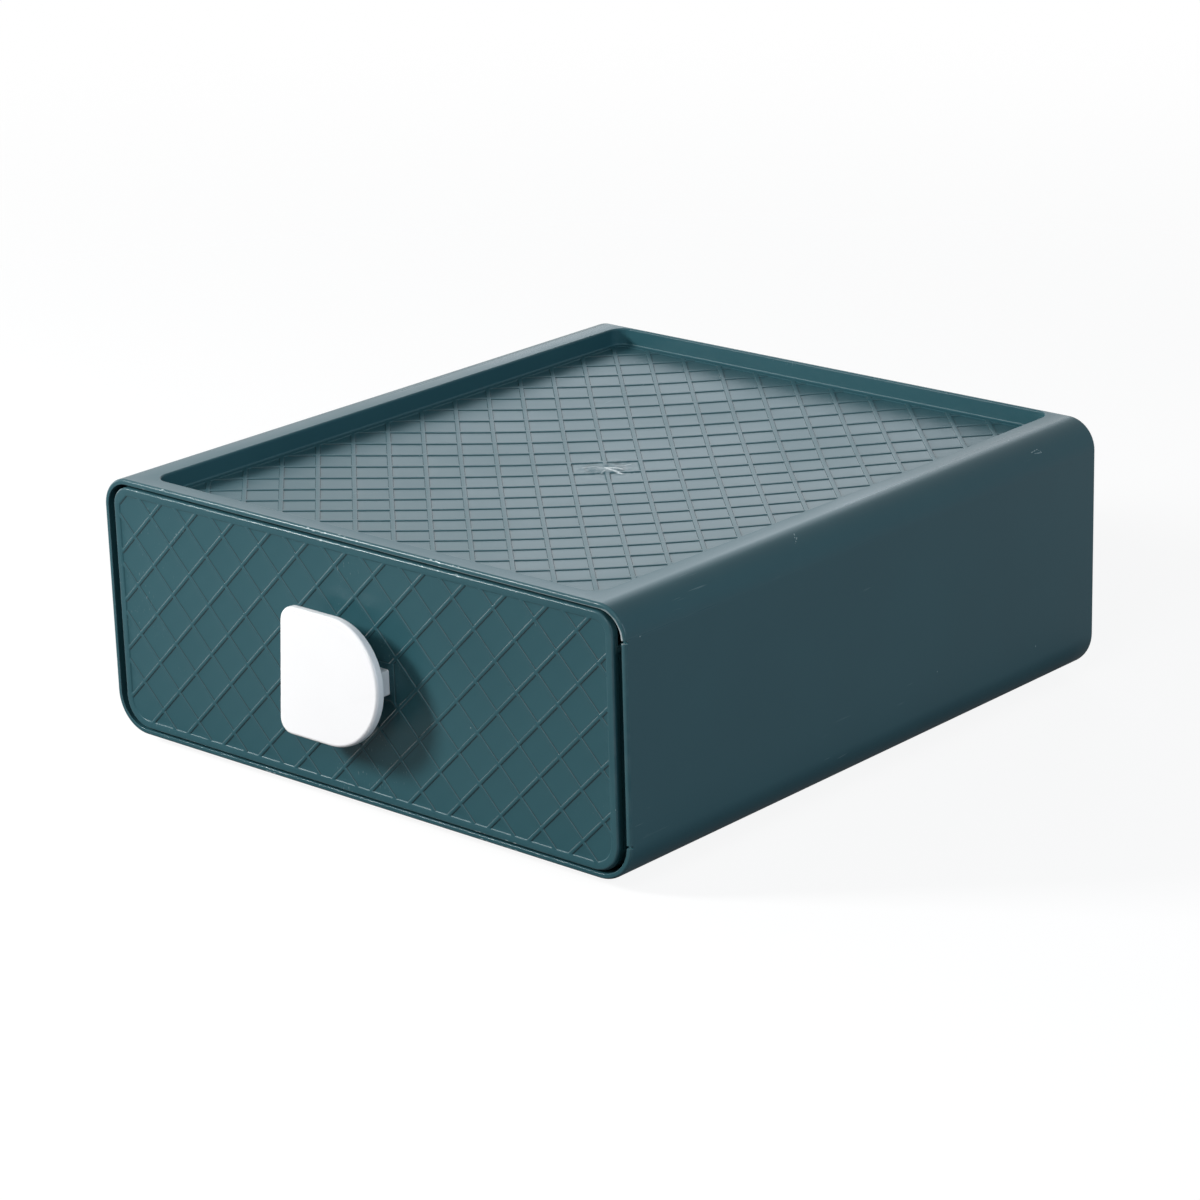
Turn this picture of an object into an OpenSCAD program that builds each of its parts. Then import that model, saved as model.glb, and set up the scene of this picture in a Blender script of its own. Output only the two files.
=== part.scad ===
// Stackable drawer box: a case that is open at its front and has a sunk, patterned top, a drawer
// that slides out of it, and a white D-shaped pull that snaps into the drawer's front panel.
// X runs to the right, Y to the back and Z up. The origin is on the ground, under the case's middle.

/* [Case] */
// Width over the side walls
case_w = 200; // [180:1:240]
// Depth from the front edge to the outside of the back wall
case_d = 213; // [195:1:250]
// Height of the case, without the stacking foot under it
case_h = 78; // [70:1:100]
// Thickness of the case's walls
case_wall = 1.8; // [1.4:0.1:2.4]
// Radius of the two long upper edges
case_top_r = 9.5; // [7:0.5:12]
// Radius of the two long lower edges
case_bottom_r = 11.5; // [8:0.5:13]

/* [Stacking] */
// Width of the flat rim at each side of the sunk top
rim_side = 15; // [13:0.5:20]
// Width of the rim in front of the sunk top
rim_front = 6.2; // [5.6:0.1:9]
// Width of the rim behind the sunk top
rim_back = 1.8; // [1.4:0.1:4]
// Depth of the sunk top below the rim
recess_depth = 6.5; // [5:0.5:9]
// Radius of the sunk top's four corners
recess_r = 5; // [3:0.5:8]
// Height of the foot, which drops into the sunk top of the box below
foot_h = 3; // [2:0.5:4]
// Gap all round between the foot and the sunk top that it drops into
stack_gap = 0.8; // [0.4:0.1:1.5]

/* [Drawer] */
// Thickness of the front panel
panel_t = 2.6; // [2:0.1:3.2]
// Gap between the panel and the case at each side
panel_side_gap = 2; // [1.2:0.1:3]
// Gap between the panel and the case above and below it
panel_end_gap = 1; // [0.5:0.1:1.6]
// How far the panel stands out of the case's front edge
panel_proud = 0.4; // [0:0.1:1]
// Thickness of the drawer's three upright walls
tray_wall = 1.8; // [1.2:0.1:2.4]
// Thickness of the drawer's floor
tray_floor = 1.8; // [1.2:0.1:2.4]
// Gap between the drawer's sides and the case
tray_side_gap = 2.7; // [2.4:0.1:4]
// Running gap between the drawer's floor and the ledges it slides on
tray_run_gap = 0.3; // [0.2:0.1:0.6]
// Gap between the drawer's rim and the underside of the sunk top
tray_head_gap = 3.2; // [1:0.1:8]
// Gap between the closed drawer and the case's back wall
tray_back_gap = 0.5; // [0.3:0.1:2]
// Radius of the drawer's long lower edges
tray_bottom_r = 8; // [4:0.5:10]
// Radius of the drawer's two upright back corners
tray_corner_r = 6; // [4:0.5:12]
// How far the lip along the drawer's rim stands out
lip_proud = 1.4; // [0.8:0.1:1.8]
// Height of that lip
lip_h = 2; // [1:0.1:4]

/* [Drawer stop] */
// How far the drawer slides out before it stops
travel = 150; // [80:1:160]
// How far behind the panel the case's stop ribs are
stop_set_back = 9; // [3:0.5:20]
// How far the case's stop ribs stand in from its side walls
stop_rib_proud = 1.9; // [1.6:0.1:2]
// Thickness of the stop ribs, from front to back
stop_rib_t = 2.4; // [1.5:0.1:4]
// How far the drawer's stop lugs stand out from its sides
stop_lug_proud = 1.9; // [1.6:0.1:2]
// Length of the lugs' sloping backs
stop_lug_ramp = 9; // [4:0.5:16]
// Height of the stop ribs and of the lugs
stop_h = 16; // [8:1:30]
// Gap between rib and lug when the drawer is fully out
stop_gap = 0.3; // [0.2:0.1:1]

/* [Diamond pattern] */
// Width of one diamond
diamond_w = 15; // [10:0.1:24]
// Height of one diamond
diamond_h = 15; // [10:0.1:24]
// Width of the raised lines between the diamonds
line_w = 1.3; // [0.8:0.1:3]
// Depth of the diamonds below the lines
diamond_depth = 0.4; // [0.2:0.1:0.8]
// Width of the flat border round the front panel's pattern
panel_border = 2.4; // [1.5:0.1:6]
// Width of the flat border round the sunk top's pattern
recess_border = 1.6; // [1:0.1:6]

/* [Pull] */
// Width of the D-shaped plate
pull_w = 38; // [30:0.5:50]
// Height of the plate
pull_h = 37; // [28:0.5:46]
// Thickness of the plate
pull_t = 3; // [2:0.1:4.5]
// Radius of the plate's two corners on its straight side
pull_corner_r = 4.5; // [2:0.5:8]
// Room behind the plate for a fingertip
pull_gap = 7.4; // [5:0.1:12]
// Lean of the plate, its lower edge standing further out
pull_lean = 4; // [0:0.5:6]
// Width of the neck between the plate and the panel
neck_w = 27; // [20:0.5:29]
// Height of the neck
neck_h = 7.5; // [5:0.5:12]
// Flat pad on the panel that shows round the neck
pad_margin = 1.6; // [0.6:0.1:4]
// Thickness of each of the two snap legs
leg_t = 2.2; // [1.5:0.1:3.5]
// Height of the snap legs
leg_h = 5; // [3:0.1:6]
// How far the legs stand in from the neck's ends
leg_inset = 2; // [1.4:0.1:4]
// Length of the legs behind the panel
leg_reach = 3.2; // [2.4:0.1:5]
// How far the barbs hook behind the panel
barb = 0.9; // [0.6:0.1:1.2]
// Gap round the legs in their slot, and between the barbs and the panel
snap_gap = 0.2; // [0.1:0.05:0.4]

/* [Hidden] */
$fn = 96;
cut = 1;                                   // overshoot of every cut past a face
least_r = 0.2;                             // sharpest that a corner gets when its outline is pulled in
teal = [0.17, 0.29, 0.31];
white = [0.95, 0.95, 0.95];

// the case
front_y = -case_d / 2;
back_y = case_d / 2;
base_z = foot_h;
top_z = base_z + case_h;
recess_z = top_z - recess_depth;
ceiling_z = recess_z - case_wall;
ledge_z = base_z + case_wall;
recess_w = case_w - 2 * rim_side;
recess_y0 = front_y + rim_front;
recess_y1 = back_y - rim_back;
bay_w = case_w - 2 * case_wall;
bay_y1 = back_y - case_wall;

// the front panel
panel_w = bay_w - 2 * panel_side_gap;
panel_y0 = front_y - panel_proud;
panel_y1 = panel_y0 + panel_t;
panel_z0 = ledge_z + panel_end_gap;
panel_z1 = top_z - case_wall - panel_end_gap;
panel_h = panel_z1 - panel_z0;
panel_zc = (panel_z0 + panel_z1) / 2;
panel_top_r = inner_r(case_top_r, case_wall + panel_end_gap);
panel_bottom_r = inner_r(case_bottom_r, case_wall + panel_end_gap);

// the drawer's tray
tray_w = bay_w - 2 * tray_side_gap;
tray_z0 = ledge_z + tray_run_gap;
tray_z1 = ceiling_z - tray_head_gap;
tray_y1 = bay_y1 - tray_back_gap;

// the stop: ribs a little behind the panel, lugs one travel further back
stop_y = panel_y1 + stop_set_back;
stop_zc = (tray_z0 + tray_z1) / 2;
lug_y = stop_y + stop_rib_t + travel + stop_gap;

// the pull, in its slot through the panel
leg_x = neck_w / 2 - leg_inset;
slot_w = 2 * (leg_x + snap_gap);
slot_h = leg_h + 2 * snap_gap;

// A round corner's radius once its outline is pulled in by inset
function inner_r(r, inset) = max(r - inset, least_r);

// A rectangle standing on the X axis, with its own radius at the top and at the bottom corners
module profile(w, h, r_top, r_bottom) {
  translate([-w / 2, r_bottom]) square([w, h - r_top - r_bottom]);
  translate([-w / 2 + r_bottom, 0]) square([w - 2 * r_bottom, h / 2]);
  translate([-w / 2 + r_top, h / 2]) square([w - 2 * r_top, h / 2]);
  for (side = [-1, 1]) {
    translate([side * (w / 2 - r_top), h - r_top]) circle(r_top);
    translate([side * (w / 2 - r_bottom), r_bottom]) circle(r_bottom);
  }
}

// A profile carried from y0 to y1, standing on z0
module bar(w, h, r_top, r_bottom, y0, y1, z0) {
  translate([0, y1, z0]) rotate([90, 0, 0]) linear_extrude(y1 - y0) profile(w, h, r_top, r_bottom);
}

// A rectangle seen from above, with four rounded corners, between z0 and z1
module slab(w, r, y0, y1, z0, z1) {
  translate([0, (y0 + y1) / 2, z0]) linear_extrude(z1 - z0) rounded(w, y1 - y0, r);
}

// A centred rectangle with four equal round corners
module rounded(w, h, r) {
  translate([0, -h / 2]) profile(w, h, r, r);
}

// A box from its low corner to its high corner, mirrored to the other side as well
module both_sides(low, high) {
  for (side = [0, 1]) mirror([side, 0, 0]) translate(low) cube(high - low);
}

// The raised lines that cross a field of w by h and leave diamonds between them.
// They cross each other on the field's middle row, shift diamonds to the right of its middle
module lines(w, h, shift) {
  lean = atan2(diamond_h, diamond_w);
  reach = w / 2 + h * diamond_w / diamond_h / 2;
  count = ceil(reach / diamond_w);
  for (k = [-count:count])
    for (side = [-1, 1])
      translate([(k + shift) * diamond_w, 0]) rotate(side * lean) square([2 * (w + h), line_w], center = true);
}

// The sunk top's space above its floor
module recess_space() {
  slab(recess_w, recess_r, recess_y0, recess_y1, recess_z, top_z + cut);
}

// The diamonds sunk into the recess's floor
module recess_diamonds() {
  w = recess_w - 2 * recess_border;
  h = recess_y1 - recess_y0 - 2 * recess_border;
  translate([0, (recess_y0 + recess_y1) / 2, recess_z - diamond_depth])
    linear_extrude(diamond_depth + cut)
      difference() {
        rounded(w, h, inner_r(recess_r, recess_border));
        lines(w, h, 0);
      }
}

// The bay that the drawer runs in, with the sunk top's floor and walls left standing in it
module bay() {
  difference() {
    bar(bay_w, case_h - 2 * case_wall, inner_r(case_top_r, case_wall), inner_r(case_bottom_r, case_wall),
        front_y - cut, bay_y1, ledge_z);
    slab(recess_w + 2 * case_wall, recess_r + case_wall, recess_y0 - case_wall,
         recess_y1 + case_wall, ceiling_z, top_z);
  }
}

// The foot's outline, pulled in by inset
module foot(inset, z0, z1) {
  slab(recess_w - 2 * (stack_gap + inset), inner_r(recess_r, stack_gap + inset),
       recess_y0 + stack_gap + inset, recess_y1 - stack_gap - inset, z0, z1);
}

module case() {
  color(teal) {
    difference() {
      union() {
        bar(case_w, case_h, case_top_r, case_bottom_r, front_y, back_y, base_z);
        foot(0, 0, base_z + case_wall / 2);
      }
      bay();
      foot(case_wall, case_wall, ledge_z + cut);
      recess_space();
      recess_diamonds();
    }
    both_sides([bay_w / 2 - stop_rib_proud, stop_y, stop_zc - stop_h / 2],
               [bay_w / 2 + case_wall / 2, stop_y + stop_rib_t, stop_zc + stop_h / 2]);
  }
}

// The diamonds sunk into the panel's face, clear of the pad that the pull's neck stands on
module panel_diamonds() {
  w = panel_w - 2 * panel_border;
  h = panel_h - 2 * panel_border;
  translate([0, panel_y0 + diamond_depth, panel_zc]) rotate([90, 0, 0])
    linear_extrude(diamond_depth + cut)
      difference() {
        translate([0, -h / 2])
          profile(w, h, inner_r(panel_top_r, panel_border), inner_r(panel_bottom_r, panel_border));
        lines(w, h, 0.5);
        square([neck_w + 2 * pad_margin, neck_h + 2 * pad_margin], center = true);
      }
}

// The tray's outer form, pulled in by inset and standing on z0
module tray_form(inset, y0, z0, z1) {
  intersection() {
    bar(tray_w - 2 * inset, 2 * (z1 - z0), inner_r(tray_bottom_r, inset), inner_r(tray_bottom_r, inset),
        y0, tray_y1 - inset, z0);
    slab(tray_w - 2 * inset, inner_r(tray_corner_r, inset), y0 - 2 * tray_corner_r, tray_y1 - inset, z0, z1);
  }
}

// The slot through the panel that the pull's legs snap into
module pull_slot() {
  translate([-slot_w / 2, panel_y0 - cut, panel_zc - slot_h / 2]) cube([slot_w, panel_t + 2 * cut, slot_h]);
}

module drawer() {
  color(teal) {
    difference() {
      union() {
        bar(panel_w, panel_h, panel_top_r, panel_bottom_r, panel_y0, panel_y1, panel_z0);
        tray_form(0, panel_y1 - panel_t / 2, tray_z0, tray_z1);
        tray_lip();
      }
      tray_form(tray_wall, panel_y1, tray_z0 + tray_floor, tray_z1 + cut);
      panel_diamonds();
      pull_slot();
    }
    stop_lugs();
  }
}

// The lip that stiffens the tray's rim
module tray_lip() {
  slab(tray_w + 2 * lip_proud, tray_corner_r, panel_y1 - panel_t / 2, tray_y1, tray_z1 - lip_h, tray_z1);
}

// Wedges on the tray's sides that meet the case's ribs when the drawer is fully out
module stop_lugs() {
  root = tray_w / 2 - tray_wall / 2;
  tip = tray_w / 2 + stop_lug_proud;
  for (side = [0, 1])
    mirror([side, 0, 0])
      translate([0, 0, stop_zc - stop_h / 2])
        linear_extrude(stop_h)
          polygon([[root, lug_y], [tip, lug_y], [tip, lug_y + stop_rib_t],
                   [root, lug_y + stop_rib_t + stop_lug_ramp]]);
}

// The plate's outline: straight at the left, half a circle at the right
module d_outline() {
  r = pull_h / 2;
  difference() {
    union() {
      translate([-pull_w / 2, -r]) square([pull_w - r, pull_h]);
      translate([pull_w / 2 - r, 0]) circle(r);
    }
    for (side = [-1, 1])
      translate([-pull_w / 2, side * r])
        difference() {
          square(2 * pull_corner_r, center = true);
          translate([pull_corner_r, -side * pull_corner_r]) circle(pull_corner_r);
        }
  }
}

module pull() {
  color(white)
    translate([0, panel_y0, panel_zc]) {
      translate([0, -pull_gap, 0]) rotate([90 - pull_lean, 0, 0]) linear_extrude(pull_t) d_outline();
      translate([-neck_w / 2, -pull_gap - pull_t / 2, -neck_h / 2])
        cube([neck_w, pull_gap + pull_t / 2, neck_h]);
      for (side = [0, 1]) mirror([side, 0, 0]) snap_leg();
    }
}

// One snap leg, from inside the neck to its barb behind the panel
module snap_leg() {
  hook_y = panel_t + snap_gap;
  tip_y = panel_t + leg_reach;
  translate([0, 0, -leg_h / 2])
    linear_extrude(leg_h)
      polygon([[leg_x - leg_t, -pull_gap / 2], [leg_x, -pull_gap / 2], [leg_x, hook_y],
               [leg_x + barb, hook_y], [leg_x, tip_y], [leg_x - leg_t, tip_y]]);
}

case();
drawer();
pull();
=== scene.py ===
"""The looks of the stackable drawer box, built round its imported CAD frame.

The case, the drawer and the finger pull are each modelled again with their small roundings, the pressed
diamond pattern, the sagging top and the scar of the moulding gate, and dressed in moulded plastic. Lengths
are in metres, in the CAD's own frame: X to the right, Y to the back, Z up.
"""

import logging
import math
from collections.abc import Callable, Iterator
from contextlib import contextmanager
from dataclasses import dataclass, field
from enum import Enum

import bmesh
import bpy
import numpy as np
from mathutils import Matrix, Vector


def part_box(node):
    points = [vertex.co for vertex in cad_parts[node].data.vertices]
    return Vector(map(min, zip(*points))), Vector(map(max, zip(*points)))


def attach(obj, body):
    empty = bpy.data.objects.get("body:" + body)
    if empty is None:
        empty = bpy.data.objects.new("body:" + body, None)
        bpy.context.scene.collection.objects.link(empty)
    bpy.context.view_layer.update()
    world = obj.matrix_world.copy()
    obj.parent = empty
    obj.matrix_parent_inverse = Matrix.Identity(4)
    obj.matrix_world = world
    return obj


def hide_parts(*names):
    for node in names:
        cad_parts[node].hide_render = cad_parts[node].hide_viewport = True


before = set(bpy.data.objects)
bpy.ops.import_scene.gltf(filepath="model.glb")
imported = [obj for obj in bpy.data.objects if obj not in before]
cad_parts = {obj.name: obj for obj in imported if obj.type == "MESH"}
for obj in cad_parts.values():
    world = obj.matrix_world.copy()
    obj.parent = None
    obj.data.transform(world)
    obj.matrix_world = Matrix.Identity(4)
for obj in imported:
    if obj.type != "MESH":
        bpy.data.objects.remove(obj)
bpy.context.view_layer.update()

LOG = logging.getLogger("drawer_box")
TOUCH = 1e-6  # how near two places are that count as the same
ON_PLANE = 1e-7  # how near a cutting plane a vertex is that counts as on it
STRAIGHT = 0.999  # least share of a direction's length along the axis that it follows
PAST = 0.001  # how far a cutter reaches past the face it cuts
SHARP = math.radians(30)  # edges whose faces meet at more than this can be rounded
ROOT2 = math.sqrt(2)
WORN_BEND = 3000.0  # radians of bend to the metre at which an edge is worn fully
SIDES = (Vector((1, 0, 0)), Vector((-1, 0, 0)), Vector((0, 1, 0)), Vector((0, -1, 0)))

Colour = tuple[float, float, float]
Place = tuple[float, float, float]
Socket = bpy.types.NodeSocket
Test = Callable[[Vector, Vector], bool]  # gets both ends of an edge, or the middle and normal of a face


class Cut(Enum):
    """What a second solid does to the first."""

    ADD = "UNION"
    TAKE = "DIFFERENCE"


class Part(Enum):
    """What an edit-mode step works on."""

    VERTS = "VERT"
    EDGES = "EDGE"
    FACES = "FACE"


# ---------------------------------------------------------------- the workbench


def only(obj: bpy.types.Object) -> None:
    """Makes one object the selected and active one.

    Args:
        obj: The object.
    """
    bpy.ops.object.select_all(action="DESELECT")
    obj.select_set(True)
    bpy.context.view_layer.objects.active = obj


@contextmanager
def editing(obj: bpy.types.Object, part: Part) -> Iterator[None]:
    """Opens obj in edit mode with nothing selected, and closes it again.

    Args:
        obj: The mesh object to work on.
        part: Whether the steps inside pick vertices, edges or faces.
    """
    only(obj)
    bpy.ops.object.mode_set(mode="EDIT")
    bpy.ops.mesh.select_mode(type=part.value)
    bpy.ops.mesh.select_all(action="DESELECT")
    yield
    bpy.ops.object.mode_set(mode="OBJECT")


def pick_edges(obj: bpy.types.Object, wanted: Callable[[bmesh.types.BMEdge], bool]) -> None:
    """Selects, in edit mode, the edges that a test wants.

    Args:
        obj: The object in edit mode.
        wanted: Gets an edge and says whether it is wanted.
    """
    sheet = bmesh.from_edit_mesh(obj.data)
    for edge in sheet.edges:
        edge.select_set(wanted(edge))
    sheet.select_flush_mode()
    bmesh.update_edit_mesh(obj.data)


def ends(edge: bmesh.types.BMEdge) -> tuple[Vector, Vector]:
    """Gives the places of an edge's two ends."""
    return edge.verts[0].co, edge.verts[1].co


def pick_faces(obj: bpy.types.Object, wanted: Test) -> None:
    """Selects, in edit mode, the faces that a test wants.

    Args:
        obj: The object in edit mode.
        wanted: Gets a face's middle and its normal and says whether it is wanted.
    """
    sheet = bmesh.from_edit_mesh(obj.data)
    for face in sheet.faces:
        face.select_set(wanted(face.calc_center_median(), face.normal))
    sheet.select_flush_mode()
    bmesh.update_edit_mesh(obj.data)


def remove_faces(obj: bpy.types.Object, wanted: Test) -> None:
    """Deletes the faces that a test wants.

    Args:
        obj: The object to work on.
        wanted: Gets a face's middle and its normal and says whether the face goes.
    """
    with editing(obj, Part.FACES):
        pick_faces(obj, wanted)
        bpy.ops.mesh.delete(type="FACE")


def settle(obj: bpy.types.Object) -> None:
    """Moves an object's place, turn and scale into its mesh."""
    only(obj)
    bpy.ops.object.transform_apply(location=True, rotation=True, scale=True)


def block(name: str, low: Vector, high: Vector) -> bpy.types.Object:
    """Adds a cube primitive at its size and place.

    Args:
        name: The new object's name.
        low: Its lowest corner.
        high: Its highest corner.

    Returns:
        The block, with its place in its mesh.
    """
    bpy.ops.object.select_all(action="DESELECT")
    bpy.ops.mesh.primitive_cube_add(size=1, location=(low + high) / 2, scale=high - low)
    made = bpy.context.view_layer.objects.active
    made.name = name
    settle(made)
    return made


def round_edges(obj: bpy.types.Object, radius: float, steps: int, wanted: Test) -> None:
    """Rounds the sharp edges that a test wants.

    Args:
        obj: The object to work on.
        radius: The rounding's radius.
        steps: How many strips of faces make the rounding.
        wanted: Gets both ends of an edge and says whether it is wanted.
    """
    with editing(obj, Part.EDGES):
        pick_edges(obj, lambda edge: wanted(*ends(edge)) and edge.calc_face_angle(0) >= SHARP)
        bpy.ops.mesh.bevel(offset=radius, segments=steps, profile=0.5, affect="EDGES", clamp_overlap=False)


def along(axis: int, side: Callable[[Vector], bool] = lambda middle: True) -> Test:
    """Makes a test for edges that run along one axis.

    Args:
        axis: 0, 1 or 2 for X, Y or Z.
        side: A further test of the edge's middle.

    Returns:
        The test for round_edges.
    """

    def wanted(a: Vector, b: Vector) -> bool:
        """Says whether the edge from a to b runs along the axis."""
        run = b - a
        return abs(run[axis]) > STRAIGHT * run.length and side((a + b) / 2)

    return wanted


def at(axis: int, place: float) -> Test:
    """Makes a test for edges that lie in the plane where one coordinate has one value."""
    return lambda a, b: abs(a[axis] - place) < TOUCH and abs(b[axis] - place) < TOUCH


def bar(
    name: str, low: Vector, high: Vector, top_radius: float, bottom_radius: float, steps: int = 14
) -> bpy.types.Object:
    """Makes a block whose four edges along Y are rounded.

    Args:
        name: The new object's name.
        low: Its lowest corner.
        high: Its highest corner.
        top_radius: Radius of the two upper edges.
        bottom_radius: Radius of the two lower edges.
        steps: Strips of faces in each rounding.

    Returns:
        The bar.
    """
    made = block(name, low, high)
    middle = (low.z + high.z) / 2
    round_edges(made, top_radius, steps, along(1, lambda m: m.z > middle))
    round_edges(made, bottom_radius, steps, along(1, lambda m: m.z < middle))
    return made


def combine(obj: bpy.types.Object, tool: bpy.types.Object, how: Cut) -> None:
    """Joins a second solid to the first, or cuts it out of the first, and uses the second up.

    Args:
        obj: The solid that stays.
        tool: The solid that is used up.
        how: Whether it is added or taken away.
    """
    only(obj)
    step = obj.modifiers.new("combine", "BOOLEAN")
    step.solver = "EXACT"
    step.operation = how.value
    step.object = tool
    bpy.ops.object.modifier_apply(modifier=step.name)
    bpy.data.objects.remove(tool)


def slice_off(obj: bpy.types.Object, place: Vector, normal: Vector) -> None:
    """Cuts off what lies beyond a plane and closes the cut.

    Args:
        obj: The solid to cut.
        place: A point on the plane.
        normal: The direction of what goes.
    """
    with editing(obj, Part.FACES):
        bpy.ops.mesh.select_all(action="SELECT")
        bpy.ops.mesh.bisect(
            plane_co=place, plane_no=normal, clear_outer=True, use_fill=True, threshold=ON_PLANE
        )


def mirrored(obj: bpy.types.Object) -> bpy.types.Object:
    """Copies a solid to the other side of the plane X = 0.

    Args:
        obj: The solid to copy.

    Returns:
        The copy, with its faces outwards.
    """
    only(obj)
    bpy.ops.object.duplicate()
    made = bpy.context.view_layer.objects.active
    made.scale = (-1, 1, 1)
    settle(made)
    with editing(made, Part.FACES):
        bpy.ops.mesh.select_all(action="SELECT")
        bpy.ops.mesh.normals_make_consistent(inside=False)
    return made


def merge(obj: bpy.types.Object, others: list[bpy.types.Object]) -> None:
    """Takes the meshes of other objects into obj as they are.

    Args:
        obj: The object that stays.
        others: The objects whose meshes it takes.
    """
    only(obj)
    for other in others:
        other.select_set(True)
    bpy.ops.object.join()


def close_flat(obj: bpy.types.Object, wanted: Test) -> None:
    """Fills the flat gap between open edges of one plane.

    Args:
        obj: The object to work on.
        wanted: Gets both ends of an open edge and says whether it bounds the gap.
    """
    with editing(obj, Part.EDGES):
        pick_edges(obj, lambda edge: edge.is_boundary and wanted(*ends(edge)))
        bpy.ops.mesh.fill(use_beauty=True)


def finish_mesh(obj: bpy.types.Object, smooth_under: float = 62.0) -> None:
    """Merges doubles, turns the faces outwards and shades the roundings smooth and the flats flat.

    Args:
        obj: The object to finish.
        smooth_under: Edges whose faces meet at less than this, in degrees, are shaded smooth.
    """
    with editing(obj, Part.FACES):
        bpy.ops.mesh.select_all(action="SELECT")
        bpy.ops.mesh.remove_doubles(threshold=TOUCH)
        bpy.ops.mesh.dissolve_degenerate(threshold=TOUCH)
        bpy.ops.mesh.select_all(action="SELECT")
        bpy.ops.mesh.delete_loose(use_verts=True, use_edges=True, use_faces=False)
        bpy.ops.mesh.select_all(action="SELECT")
        bpy.ops.mesh.normals_make_consistent(inside=False)
    mark_wear(obj)
    only(obj)
    bpy.ops.object.shade_smooth_by_angle(angle=math.radians(smooth_under))
    step = obj.modifiers.new("flats", "WEIGHTED_NORMAL")
    step.keep_sharp = True
    step.weight = 50
    bpy.ops.object.modifier_apply(modifier=step.name)


def mark_wear(obj: bpy.types.Object) -> None:
    """Writes the attribute "wear": 1 where the surface bends outwards tightly, 0 where it is flat or hollow.

    Args:
        obj: The object, with its normals outwards.
    """
    sheet = bmesh.new()
    sheet.from_mesh(obj.data)
    layer = sheet.verts.layers.float.new("wear")
    pattern = sheet.verts.layers.float.get("pattern")
    for vertex in sheet.verts:
        bends = [0.0]
        for edge in vertex.link_edges:
            reach = sum(face.calc_area() for face in edge.link_faces) / 2 / edge.calc_length()
            bends.append(edge.calc_face_angle_signed(0) / max(reach, TOUCH))
        plain = 1 - vertex[pattern] if pattern else 1
        vertex[layer] = plain * min(max(bends) / WORN_BEND, 1)
    sheet.to_mesh(obj.data)
    sheet.free()


def open_edges(obj: bpy.types.Object) -> int:
    """Counts the edges that don't have exactly two faces.

    Args:
        obj: The object to look at.

    Returns:
        Their number, 0 on a closed mesh.
    """
    sheet = bmesh.new()
    sheet.from_mesh(obj.data)
    count = sum(len(edge.link_faces) != 2 for edge in sheet.edges)
    sheet.free()
    return count


def by_open_edge(obj: bpy.types.Object) -> np.ndarray:
    """Finds the vertices on or next to an open edge of a sheet.

    Args:
        obj: The sheet.

    Returns:
        1 for each of them and 0 for the others.
    """
    sheet = bmesh.new()
    sheet.from_mesh(obj.data)
    found = np.zeros(len(sheet.verts))
    for edge in sheet.edges:
        if any(vertex.is_boundary for vertex in edge.verts):
            found[[vertex.index for vertex in edge.verts]] = 1
    sheet.free()
    return found


def read_places(obj: bpy.types.Object) -> np.ndarray:
    """Reads the places of an object's vertices.

    Args:
        obj: The object.

    Returns:
        An array of one row for each vertex.
    """
    flat = np.empty(3 * len(obj.data.vertices), dtype=np.float32)
    obj.data.vertices.foreach_get("co", flat)
    return flat.reshape(-1, 3).astype(float)


def write_places(obj: bpy.types.Object, places: np.ndarray) -> None:
    """Moves an object's vertices to the places in an array of one row each."""
    obj.data.vertices.foreach_set("co", places.astype(np.float32).ravel())
    obj.data.update()


def write_attribute(obj: bpy.types.Object, name: str, values: np.ndarray) -> None:
    """Gives an object an attribute with one value for each vertex."""
    made = obj.data.attributes.new(name, "FLOAT", "POINT")
    made.data.foreach_set("value", values.astype(np.float32))


# ---------------------------------------------------------------- the diamond pattern


@dataclass(frozen=True)
class Outline:
    """A rectangle with round corners, centred on the origin of its own plane."""

    width: float
    height: float
    high_radius: float
    low_radius: float
    steps: int = 8

    def radius(self, b: float) -> float:
        """Gives the corner radius at the upper or the lower side."""
        return self.high_radius if b > 0 else self.low_radius

    def inset(self, by: float) -> "Outline":
        """Gives the outline that runs inside this one.

        Args:
            by: How far inside it runs.

        Returns:
            The smaller outline.
        """
        width, height = self.width - 2 * by, self.height - 2 * by
        return Outline(width, height, self.high_radius - by, self.low_radius - by, self.steps)

    def tangents(self) -> list[tuple[Vector, Vector]]:
        """Lists the outline's sides and the facets of its corners.

        Returns:
            A point on each and its normal, straight sides first.
        """
        found = [(Vector((n.x * self.width / 2, n.y * self.height / 2, 0)), n) for n in SIDES]
        for a, b in ((1, 1), (-1, 1), (-1, -1), (1, -1)):
            r = self.radius(b)
            centre = Vector((a * (self.width / 2 - r), b * (self.height / 2 - r), 0))
            for k in range(self.steps):
                turn = math.pi / 2 * (k + 0.5) / self.steps
                normal = Vector((a * math.cos(turn), b * math.sin(turn), 0))
                reach = r * math.cos(math.pi / 4 / self.steps)
                found.append((centre + normal * reach, normal))
        return found

    def outward(self, place: Vector) -> Vector:
        """Gives the direction straight out of the outline.

        Args:
            place: A place on it.

        Returns:
            The direction, of length 1.
        """
        r = self.radius(place.y)
        beside = Vector((abs(place.x) - self.width / 2 + r, abs(place.y) - self.height / 2 + r, 0))
        if beside.x > -TOUCH and beside.y > -TOUCH and r > TOUCH:
            away = beside.normalized()
        elif beside.x - r > beside.y - r:
            away = Vector((1, 0, 0))
        else:
            away = Vector((0, 1, 0))
        return Vector((math.copysign(away.x, place.x), math.copysign(away.y, place.y), 0))


@dataclass(frozen=True)
class Ray:
    """One raised streak of the gate's mark, which the finish paints pale as a glint: its heading in degrees,
    its ends, height and bend.
    """

    heading: float
    start: float
    end: float
    height: float
    bend: float


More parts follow.
